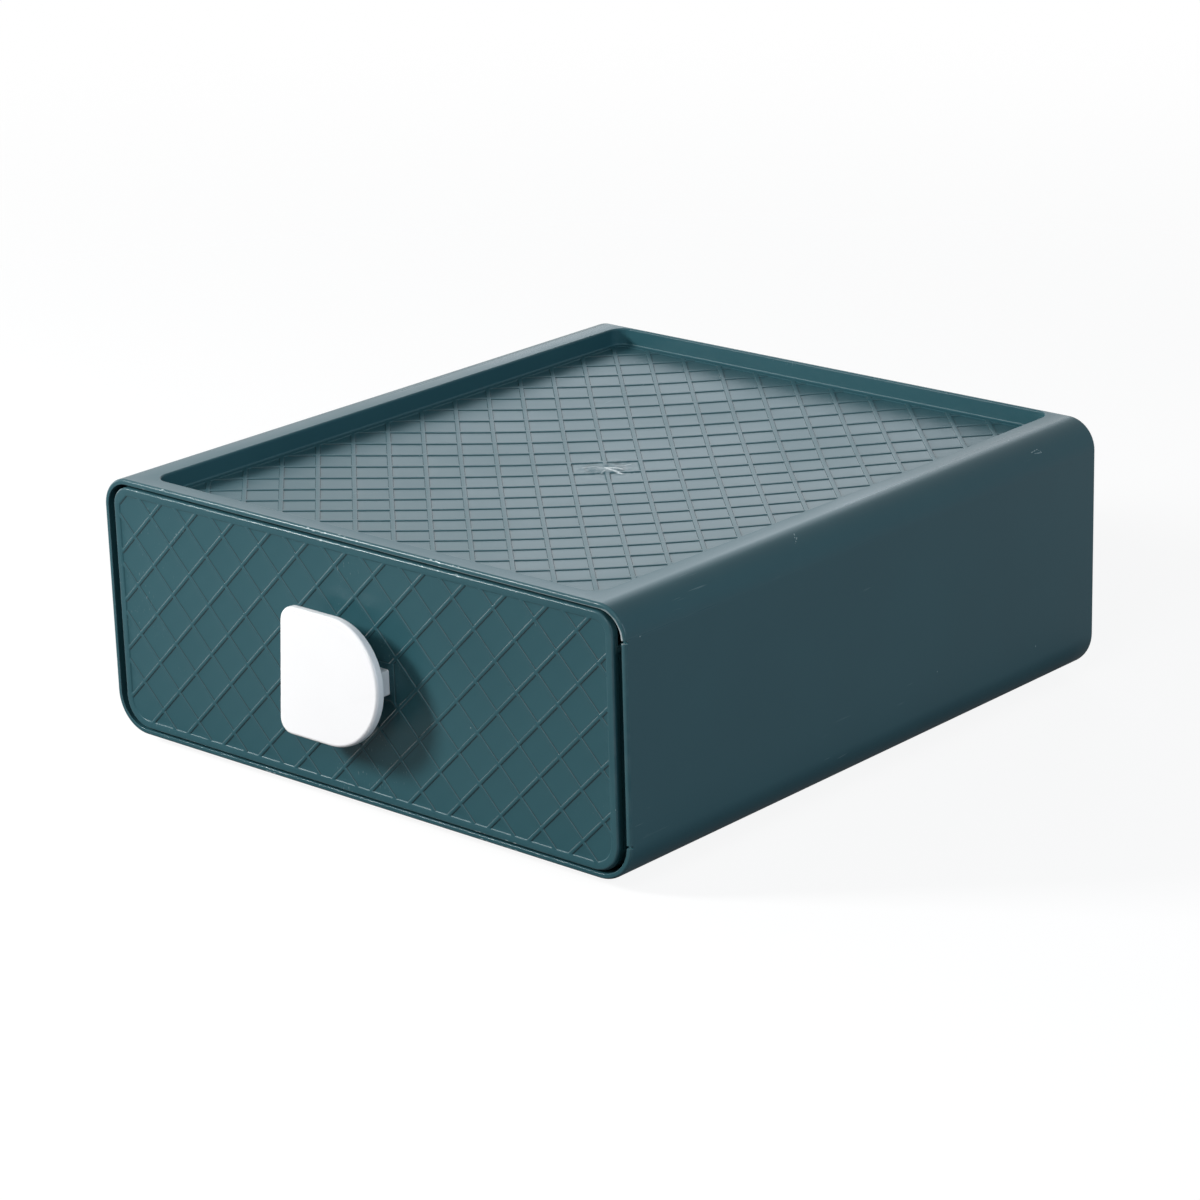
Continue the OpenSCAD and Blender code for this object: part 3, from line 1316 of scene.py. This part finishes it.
class Graph:
    """A node tree with short ways to add nodes and to wire them."""

    def __init__(self, tree: bpy.types.NodeTree) -> None:
        """Wraps a node tree and empties it."""
        self.tree = tree
        tree.nodes.clear()

    def put(self, kind: str, values: dict[str, object] | None = None, **settings: object) -> bpy.types.Node:
        """Adds a node.

        Args:
            kind: The node's type, without "ShaderNode" before it.
            values: What its inputs get: a socket to wire from, or a value.
            settings: Its other settings.

        Returns:
            The node.
        """
        node = self.tree.nodes.new("ShaderNode" + kind)
        for name, value in settings.items():
            setattr(node, name, value)
        self.wire(node, values or {})
        return node

    def wire(self, node: bpy.types.Node, values: dict[str, object]) -> None:
        """Wires or sets a node's inputs.

        Args:
            node: The node.
            values: A socket or a value for each input, which is named, or numbered as text.
        """
        for name, value in values.items():
            socket = node.inputs[int(name)] if name.isdigit() else node.inputs[name]
            if isinstance(value, Socket):
                self.tree.links.new(value, socket)
            else:
                socket.default_value = value

    def sums(self, operation: str, *values: object, clamp: bool = False) -> Socket:
        """Adds a Math node and gives its result."""
        inputs = {str(k): value for k, value in enumerate(values)}
        return self.put("Math", inputs, operation=operation, use_clamp=clamp).outputs[0]

    def times(self, first: object, *others: object) -> Socket:
        """Multiplies values with each other.

        Args:
            first: The first value.
            others: What it is multiplied with.

        Returns:
            The product.
        """
        for other in others:
            first = self.sums("MULTIPLY", first, other)
        return first

    def attribute(self, name: str) -> Socket:
        """Reads one of the mesh's attributes as a value."""
        return self.put("Attribute", attribute_name=name).outputs["Fac"]

    def spread(
        self, value: object, low: float, high: float, to_low: float = 0.0, to_high: float = 1.0
    ) -> Socket:
        """Adds a smooth Map Range node and gives its result."""
        inputs = {"Value": value, "From Min": low, "From Max": high, "To Min": to_low, "To Max": to_high}
        return self.put("MapRange", inputs, interpolation_type="SMOOTHSTEP").outputs["Result"]

    def blend(self, share: object, first: object, second: object) -> Socket:
        """Adds a colour Mix node.

        Args:
            share: How much of the second colour there is.
            first: The first colour.
            second: The second colour.

        Returns:
            The mixed colour.
        """
        node = self.put("Mix", data_type="RGBA")
        self.wire(node, {"0": share, "6": first, "7": second})
        return node.outputs[2]

    def noise(
        self, vector: object, scale: object, detail: float = 2.0, rough: float = 0.5
    ) -> Socket:
        """Adds a Noise Texture and gives its value."""
        inputs = {"Vector": vector, "Scale": scale, "Detail": detail, "Roughness": rough}
        return self.put("TexNoise", inputs).outputs[0]


def shared_effect(name: str, inputs: dict[str, object], outputs: list[str]) -> tuple[Graph, object, object]:
    """Starts a shader node group.

    Args:
        name: The group's name.
        inputs: Its inputs, each with its starting value; None stands for a vector.
        outputs: The names of its outputs, all plain values.

    Returns:
        The group's graph, the sockets of its inputs by name, and its output node.
    """
    tree = bpy.data.node_groups.new(name, "ShaderNodeTree")
    for label, start in inputs.items():
        kind = "NodeSocketVector" if start is None else "NodeSocketFloat"
        socket = tree.interface.new_socket(name=label, in_out="INPUT", socket_type=kind)
        if start is not None:
            socket.default_value = start
    for label in outputs:
        tree.interface.new_socket(name=label, in_out="OUTPUT", socket_type="NodeSocketFloat")
    graph = Graph(tree)
    ends = tree.nodes.new("NodeGroupInput"), tree.nodes.new("NodeGroupOutput")
    return graph, ends[0].outputs, ends[1]


def moulded_skin() -> bpy.types.NodeTree:
    """Makes the group for what every moulded surface has: fine grain, clouds of tone, specks and scuffs.

    Returns:
        The node group.
    """
    graph, given, end = shared_effect(
        "moulded_skin",
        {
            "Vector": None,
            "Grain Scale": 2600.0,
            "Cloud Scale": 22.0,
            "Speck Scale": 90.0,
            "Speck Size": 0.022,
        },
        ["Grain", "Cloud", "Specks", "Scuffs"],
    )
    place = given["Vector"]
    grain = graph.noise(place, given["Grain Scale"], 3.0, 0.6)
    cloud = graph.spread(graph.noise(place, given["Cloud Scale"], 3.0), 0.3, 0.7)
    dots = graph.put("TexVoronoi", {"Vector": place, "Scale": given["Speck Scale"], "Randomness": 1.0})
    near = graph.sums("LESS_THAN", dots.outputs["Distance"], given["Speck Size"])
    chosen = graph.put("SeparateColor", {"Color": dots.outputs["Color"]}).outputs[0]
    specks = graph.sums("MULTIPLY", near, graph.sums("GREATER_THAN", chosen, 0.8))
    turn, stretch = (0.4, 0.3, 0.9), (2200.0, 60.0, 700.0)
    turned = graph.put("Mapping", {"Vector": place, "Rotation": turn, "Scale": stretch})
    streaks = graph.noise(turned.outputs[0], 1.0, 1.0)
    patch = graph.spread(graph.noise(place, 31.0, 1.0), 0.60, 0.68)
    scuffs = graph.sums("MULTIPLY", graph.spread(streaks, 0.70, 0.76), patch)
    graph.wire(end, {"Grain": grain, "Cloud": cloud, "Specks": specks, "Scuffs": scuffs})
    return graph.tree


def gate_blush() -> bpy.types.NodeTree:
    """Makes the group for the pale cloud and the ripples round the moulding gate.

    Returns:
        The node group.
    """
    graph, given, end = shared_effect("gate_blush", {"Vector": None, "Radius": 0.009}, ["Blush", "Ripple"])
    away = graph.put("VectorMath", {"0": given["Vector"]}, operation="LENGTH").outputs["Value"]
    away = graph.sums("DIVIDE", away, given["Radius"])
    cloud = graph.noise(given["Vector"], 420.0, 2.0)
    blush = graph.sums("MULTIPLY", graph.spread(away, 0.2, 1.5, 1.0, 0.0), graph.spread(cloud, 0.35, 0.7))
    ripple = graph.sums("MULTIPLY", cloud, graph.spread(away, 0.3, 1.1, 1.0, 0.0))
    graph.wire(end, {"Blush": blush, "Ripple": ripple})
    return graph.tree


def scratch_mark() -> bpy.types.NodeTree:
    """Makes the group for one fine broken scratch between two places.

    Returns:
        The node group.
    """
    graph, given, end = shared_effect(
        "scratch_mark", {"Vector": None, "Start": None, "Run": None, "Width": 0.0002}, ["Mask"]
    )
    ends = {"0": given["Vector"], "1": given["Start"]}
    beside = graph.put("VectorMath", ends, operation="SUBTRACT").outputs[0]
    run = given["Run"]
    forward = graph.put("VectorMath", {"0": beside, "1": run}, operation="DOT_PRODUCT").outputs["Value"]
    whole = graph.put("VectorMath", {"0": run, "1": run}, operation="DOT_PRODUCT").outputs["Value"]
    share = graph.sums("DIVIDE", forward, whole, clamp=True)
    nearest = graph.put("VectorMath", {"0": run, "Scale": share}, operation="SCALE").outputs[0]
    gap = graph.put("VectorMath", {"0": beside, "1": nearest}, operation="DISTANCE").outputs["Value"]
    line = graph.spread(graph.sums("DIVIDE", gap, given["Width"]), 0.4, 1.0, 1.0, 0.0)
    breaks = graph.spread(graph.noise(given["Vector"], 1500.0, 2.0), 0.42, 0.52)
    graph.wire(end, {"Mask": graph.sums("MULTIPLY", line, breaks)})
    return graph.tree


@dataclass(frozen=True)
class Traces:
    """What a finish reads of the surface.

    It holds the place on the piece, the outputs of the shared skin group, how deep the place lies in a
    diamond, how tightly the surface bends outwards, and 1 on the slopes of the pattern's lines.
    """

    place: Socket
    skin: bpy.types.bpy_prop_collection
    sunk: Socket
    wear: Socket
    flank: Socket


@dataclass(frozen=True)
class Plastic:
    """A satin moulded plastic.

    The seam's start and end are the heights between which the pale seam at the mouth comes in and thins.
    Each scratch is where it starts and how it runs from there.
    """

    slot: str
    body: Colour
    tone: Colour
    speck: Colour
    speck_strength: float
    worn_lift: float
    # how strongly the wear marks, the painted shade and the painted highlights are laid
    rough_plain: float
    rough_high: float
    rough_sunk: float
    grain_height: float
    grain_scale: float
    refraction: float = 1.5
    rough_flank: float = 0.16
    dirt_tone: float = 0.3
    # tone and strength of the painted shade at the foot of the pattern's lines
    dirt_lift: float = 7.5
    chip_lift: float = 6.0
    gate: Place | None = None
    # pale colour of the painted glint on the gate's streaks, and the seam's own colour at the mouth
    scar: Colour = (0.80, 0.86, 0.87)
    blush: float = 0.16
    ripple_height: float = 0.0003
    seam_start: tuple[float, float] = (0.0709, 0.0716)
    seam_end: tuple[float, float] = (0.072, 0.079)
    scratches: tuple[tuple[Place, Place], ...] = ()
    scratch_share: float = 0.45

    def worn(self, graph: Graph, colour: Socket, seen: Traces) -> Socket:
        """Lays painted shade at the foot of the pattern's lines, pale worn edges that are partly a painted
        highlight, a painted highlight on the lines' slopes, specks, scuffs and chips over a colour.

        Args:
            graph: The graph to add to.
            colour: The colour below.
            seen: What it reads of the surface.

        Returns:
            The worn colour.
        """
        pale = (*self.speck, 1)
        patches = graph.spread(graph.noise(seen.place, 170.0, 4.0), 0.35, 0.75, 0.25, 1.0)
        # painted shade: darkens the lower slopes of the pattern's lines, where shade falls beside them
        low = graph.times(graph.spread(seen.sunk, 0.45, 0.7), graph.spread(seen.flank, 0.0, 0.36))
        ridge_foot_shade = (*(self.dirt_tone * part for part in self.body), 1)
        colour = graph.blend(graph.times(low, self.worn_lift, self.dirt_lift), colour, ridge_foot_shade)
        # pale on worn edges, partly a painted highlight, and a painted highlight on the slopes of the
        # pattern's lines
        rubbed_and_highlight = graph.sums("MAXIMUM", graph.times(seen.wear, patches), graph.times(seen.flank, 0.4))
        colour = graph.blend(graph.times(rubbed_and_highlight, self.worn_lift), colour, pale)
        marks = graph.sums("MAXIMUM", seen.skin["Specks"], graph.times(seen.skin["Scuffs"], 0.5))
        colour = graph.blend(graph.times(marks, self.speck_strength), colour, pale)
        stretch = {"Vector": seen.place, "Scale": (420.0, 1400.0, 1400.0)}
        drawn = graph.put("Mapping", stretch).outputs[0]
        chips = graph.put("TexVoronoi", {"Vector": drawn, "Scale": 1.0}).outputs["Distance"]
        chips = graph.times(
            graph.spread(chips, 0.15, 0.3, 1.0, 0.0),
            graph.spread(seen.wear, 0.1, 0.3),
            graph.spread(graph.noise(seen.place, 60.0, 1.0), 0.60, 0.66),
            min(self.worn_lift * self.chip_lift, 1.0),
        )
        return graph.blend(chips, colour, pale)

    def marked(
        self, graph: Graph, colour: Socket, normal: Socket, place: Socket
    ) -> tuple[Socket, Socket]:
        """Lays the gate's mark, with a painted glint on its streaks, and the pale seam at the mouth over a
        colour and a normal.

        Args:
            graph: The graph to add to.
            colour: The colour below.
            normal: The normal below.
            place: The place on the piece.

        Returns:
            The colour and the normal with the marks.
        """
        centred = graph.put("Mapping", {"Vector": place, "Location": [-part for part in self.gate]})
        mark = graph.put("Group", {"Vector": centred.outputs[0]}, node_tree=gate_blush()).outputs
        # painted glint: the gate's raised streaks are paled in spots
        broken = graph.spread(graph.noise(place, 1100.0, 2.0), 0.35, 0.6, 0.6, 1.0)
        streak = graph.times(graph.spread(graph.attribute("streak"), 0.1, 1.0), broken)
        height = graph.put("SeparateXYZ", {"0": place}).outputs["Z"]
        seam = graph.times(
            graph.attribute("flash"),
            graph.spread(height, *self.seam_start),
            graph.spread(height, *self.seam_end, 0.7, 0.3),
        )
        colour = graph.blend(graph.sums("MAXIMUM", streak, seam), colour, (*self.scar, 1))
        colour = graph.blend(graph.times(mark["Blush"], self.blush), colour, (*self.speck, 1))
        ripple = {"Height": mark["Ripple"], "Distance": self.ripple_height, "Strength": 1.0}
        return colour, graph.put("Bump", {**ripple, "Normal": normal}).outputs[0]

    def scratched(self, graph: Graph, colour: Socket, place: Socket) -> Socket:
        """Lays the fine scratches over a colour.

        Args:
            graph: The graph to add to.
            colour: The colour below.
            place: The place on the piece.

        Returns:
            The scratched colour.
        """
        kind = scratch_mark()
        for start, run in self.scratches:
            mark = graph.put("Group", {"Vector": place, "Start": start, "Run": run}, node_tree=kind)
            colour = graph.blend(graph.times(mark.outputs[0], self.scratch_share), colour, (*self.speck, 1))
        return colour

    def roughness(self, graph: Graph, seen: Traces) -> Socket:
        """Gives the roughness: duller lines and diamonds, polished edges, cloudy and scuffed.

        Args:
            graph: The graph to add to.
            seen: What it reads of the surface.

        Returns:
            The roughness.
        """
        plain = self.rough_plain
        dull = graph.spread(seen.sunk, 0.0, 1.0, self.rough_high - plain, self.rough_sunk - plain)
        rough = graph.sums("ADD", plain, graph.times(dull, graph.attribute("pattern")))
        polish = graph.sums("MAXIMUM", seen.flank, graph.sums("MULTIPLY", seen.wear, 1.6, clamp=True))
        rough = graph.sums("SUBTRACT", rough, graph.times(polish, plain - self.rough_flank))
        rough = graph.sums("ADD", rough, graph.spread(seen.skin["Cloud"], 0.0, 1.0, -0.015, 0.02))
        return graph.sums("ADD", rough, graph.times(seen.skin["Scuffs"], 0.1))

    def material(self, skin: bpy.types.NodeTree) -> bpy.types.Material:
        """Builds the plastic's material.

        Args:
            skin: The shared group of grain, clouds, specks and scuffs.

        Returns:
            The material.
        """
        made = bpy.data.materials.new(f"moulded_{self.slot}")
        made.use_nodes = True
        made.diffuse_color = (*self.body, 1)
        graph = Graph(made.node_tree)
        place = graph.put("TexCoord").outputs["Object"]
        group = graph.put("Group", node_tree=skin)
        graph.wire(group, {"Vector": place, "Grain Scale": self.grain_scale})
        sunk, wear = graph.attribute("sunk"), graph.attribute("wear")
        whole = graph.spread(graph.attribute("faded"), 0.0, 0.2, 1.0, 0.0)
        flank = graph.times(sunk, graph.sums("SUBTRACT", 1.0, sunk), whole, 4.0)
        seen = Traces(place, group.outputs, sunk, wear, flank)
        colour = graph.blend(seen.skin["Cloud"], (*self.body, 1), (*self.tone, 1))
        colour = self.worn(graph, colour, seen)
        grain = {"Height": seen.skin["Grain"], "Distance": self.grain_height, "Strength": 1.0}
        normal = graph.put("Bump", grain).outputs[0]
        if self.gate:
            colour, normal = self.marked(graph, colour, normal, place)
        if self.scratches:
            colour = self.scratched(graph, colour, place)
        surface = {
            "Base Color": colour,
            "Roughness": self.roughness(graph, seen),
            "IOR": self.refraction,
            "Normal": normal,
        }
        shader = graph.put("BsdfPrincipled", surface)
        graph.put("OutputMaterial", {"Surface": shader.outputs[0]})
        return made


TEAL = Plastic(
    slot="teal_plastic",
    body=(0.0235, 0.083, 0.101),
    tone=(0.0265, 0.089, 0.107),
    speck=(0.50, 0.62, 0.64),
    speck_strength=0.3,
    worn_lift=0.12,
    rough_plain=0.31,
    rough_high=0.37,
    rough_sunk=0.33,
    grain_height=0.000004,
    grain_scale=2600.0,
    refraction=1.26,
    gate=(-0.0058, 0.0064, 0.0721),
    scratches=(
        ((0.0943, -0.0295, 0.0803), (0.0012, -0.0012, -0.0006)),
        ((0.0956, -0.0300, 0.0796), (0.0013, -0.0022, -0.0008)),
        ((0.0977, 0.0765, 0.0779), (-0.0002, 0.0035, 0.0002)),
        ((0.0975, 0.0800, 0.0781), (0.0009, 0.0010, -0.0010)),
        ((0.0984, 0.0810, 0.0771), (-0.0003, -0.0030, 0.0003)),
    ),
)
WHITE = Plastic(
    slot="white_plastic",
    body=(0.91, 0.91, 0.915),
    tone=(0.93, 0.93, 0.935),
    speck=(0.30, 0.31, 0.31),
    speck_strength=0.12,
    worn_lift=0.0,
    rough_plain=0.30,
    rough_high=0.30,
    rough_sunk=0.30,
    grain_height=0.000003,
    grain_scale=1800.0,
)


# ---------------------------------------------------------------- the studio


@dataclass(frozen=True)
class Viewpoint:
    """The camera: where it stands, as angles round a target, and its lens."""

    lens: float = 118.468
    azimuth: float = 41.763
    elevation: float = 18.96
    roll: float = -1.638
    distance: float = 1.1639
    target: Place = (0.00223, -0.0065, 0.0359)
    sensor: float = 36.0
    clip_start: float = 0.05
    clip_end: float = 20.0

    def place(self) -> None:
        """Makes the camera and sets it as the scene's."""
        turn, rise = math.radians(self.azimuth), math.radians(self.elevation)
        back = Vector((math.sin(turn) * math.cos(rise), -math.cos(turn) * math.cos(rise), math.sin(rise)))
        lens = bpy.data.cameras.new("camera")
        lens.lens = self.lens
        lens.sensor_width = self.sensor
        lens.clip_start = self.clip_start
        lens.clip_end = self.clip_end
        made = bpy.data.objects.new("camera", lens)
        bpy.context.collection.objects.link(made)
        facing = back.to_track_quat("Z", "Y").to_matrix() @ Matrix.Rotation(math.radians(self.roll), 3, "Z")
        made.location = Vector(self.target) + back * self.distance
        made.rotation_euler = facing.to_euler()
        bpy.context.scene.camera = made


@dataclass(frozen=True)
class Softbox:
    """A square lamp that looks at one point."""

    name: str
    way: Place
    distance: float
    size: float
    power: float
    tint: Colour = (1.0, 1.0, 1.0)
    aim: Place = (0.0, 0.0, 0.04)

    def place(self) -> None:
        """Makes the lamp."""
        lamp = bpy.data.lights.new(self.name, "AREA")
        lamp.shape = "SQUARE"
        lamp.size = self.size
        lamp.energy = self.power
        lamp.color = self.tint
        made = bpy.data.objects.new(self.name, lamp)
        bpy.context.collection.objects.link(made)
        way = Vector(self.way).normalized()
        made.location = Vector(self.aim) + way * self.distance
        made.rotation_euler = way.to_track_quat("Z", "Y").to_euler()


@dataclass(frozen=True)
class Studio:
    """The white surroundings: the floor, the sky and the lamps."""

    floor_size: float = 4.0
    floor_tone: float = 0.14
    floor_lift: float = 0.89
    footprint: tuple[float, float] = (0.1, 0.1065)
    contact: tuple[float, float, float] = (0.0, 0.035, 0.25)
    contact_shade: tuple[float, float] = (0.1, 0.78)
    floor_near: float = 0.35
    floor_far: float = 1.1
    sky: float = 0.07
    lamps: tuple[Softbox, ...] = (
        Softbox("key", (-0.610, -0.660, 0.440), 1.0, 0.20, 10.0),
        Softbox("back", (-0.562, 0.670, 0.485), 2.6, 1.3, 7.4, (0.84, 0.96, 1.06)),
        Softbox("sheen", (-0.615, 0.727, 0.304), 1.1, 0.24, 0.23, (0.84, 0.96, 1.06), (0.06, -0.03, 0.08)),
        Softbox("side", (0.93, -0.12, 0.36), 1.2, 0.6, 4.6, (0.86, 1.0, 1.15)),
        Softbox("glint", (-0.975, -0.18, 0.12), 1.3, 0.5, 2.6),
        Softbox("fill", (0.30, -0.78, 0.55), 1.2, 0.5, 3.2),
    )

    def seen(self, graph: Graph, in_gloss: object = 1.0) -> Socket:
        """Gives how much of the white a ray sees.

        Args:
            graph: The graph to add to.
            in_gloss: What a ray that gloss or glass sends on sees of it.

        Returns:
            1 for a ray from the camera, in_gloss for one from gloss or glass, else 0.
        """
        path = graph.put("LightPath").outputs
        sent_on = graph.sums("MAXIMUM", path["Is Glossy Ray"], path["Is Transmission Ray"])
        return graph.sums("MAXIMUM", path["Is Camera Ray"], graph.sums("MULTIPLY", sent_on, in_gloss))

    def contact_shadow(self, graph: Graph, place: Socket) -> Socket:
        """Gives how bright the floor shows in gloss: dark under the object, rising away from its footprint.

        Args:
            graph: The graph to add to.
            place: The place on the floor.

        Returns:
            The share of the floor's white.
        """
        parts = graph.put("SeparateXYZ", {"0": place}).outputs
        gaps = [
            graph.sums("SUBTRACT", graph.sums("ABSOLUTE", part), half)
            for part, half in zip(parts, self.footprint)
        ]
        gap = graph.sums("MAXIMUM", *gaps)
        near, middle, far = self.contact
        under, beside = self.contact_shade
        rise = graph.spread(gap, near, middle, under, beside)
        return graph.sums("ADD", rise, graph.spread(gap, middle, far, 0.0, 1 - beside))

    def floor(self) -> None:
        """Makes the white floor, which keeps the object's shadow and ends without an edge."""
        bpy.ops.object.select_all(action="DESELECT")
        bpy.ops.mesh.primitive_plane_add(size=self.floor_size, location=(0, 0, 0))
        made = bpy.context.view_layer.objects.active
        made.name = "floor"
        paint = bpy.data.materials.new("floor_white")
        paint.use_nodes = True
        graph = Graph(paint.node_tree)
        tone = self.floor_tone
        matt = graph.put("BsdfDiffuse", {"Color": (tone, tone, tone, 1)}).outputs[0]
        place = graph.put("TexCoord").outputs["Object"]
        away = graph.put("VectorMath", {"0": place}, operation="LENGTH").outputs["Value"]
        shade = self.contact_shadow(graph, place)
        bright = graph.times(self.seen(graph, shade), self.floor_lift)
        glow = graph.put("Emission", {"Strength": bright})
        lit = graph.put("AddShader", {"0": matt, "1": glow.outputs[0]}).outputs[0]
        share = graph.spread(away, self.floor_near, self.floor_far)
        clear = graph.put("BsdfTransparent").outputs[0]
        faded = graph.put("MixShader", {"0": share, "1": lit, "2": clear}).outputs[0]
        graph.put("OutputMaterial", {"Surface": faded})
        made.data.materials.append(paint)

    def world(self) -> None:
        """Makes the sky: white where it is seen, and dim as light."""
        made = bpy.data.worlds.new("sky")
        made.use_nodes = True
        graph = Graph(made.node_tree)
        strength = graph.spread(self.seen(graph), 0.0, 1.0, self.sky, 1.0)
        light = graph.put("Background", {"Color": (1, 1, 1, 1), "Strength": strength}).outputs[0]
        graph.put("OutputWorld", {"Surface": light})
        bpy.context.scene.world = made

    def build(self) -> None:
        """Makes the floor, the sky and the lamps, and sets how colours are shown."""
        self.floor()
        self.world()
        for lamp in self.lamps:
            lamp.place()
        bpy.context.scene.view_settings.view_transform = "Standard"


def main() -> None:
    """Builds the drawer box, its camera and its studio."""
    logging.basicConfig(level=logging.INFO, format="%(message)s")
    skin = moulded_skin()
    paints = {finish.slot: finish.material(skin) for finish in (TEAL, WHITE)}
    drawer = Drawer(*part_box("drawer"))
    pull = Pull(drawer.panel_middle, drawer.panel_thickness)
    for part, body, node, slot in (
        (Case(*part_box("case")), "case", "case", TEAL.slot),
        (drawer, "drawer", "drawer", TEAL.slot),
        (pull, "drawer", "pull", WHITE.slot),
    ):
        made = part.build()
        made.data.materials.clear()
        made.data.materials.append(paints[slot])
        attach(made, body)
        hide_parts(node)
        LOG.info("%s: %d faces, %d open edges", made.name, len(made.data.polygons), open_edges(made))
    Viewpoint().place()
    Studio().build()


if __name__ == "__main__":
    main()
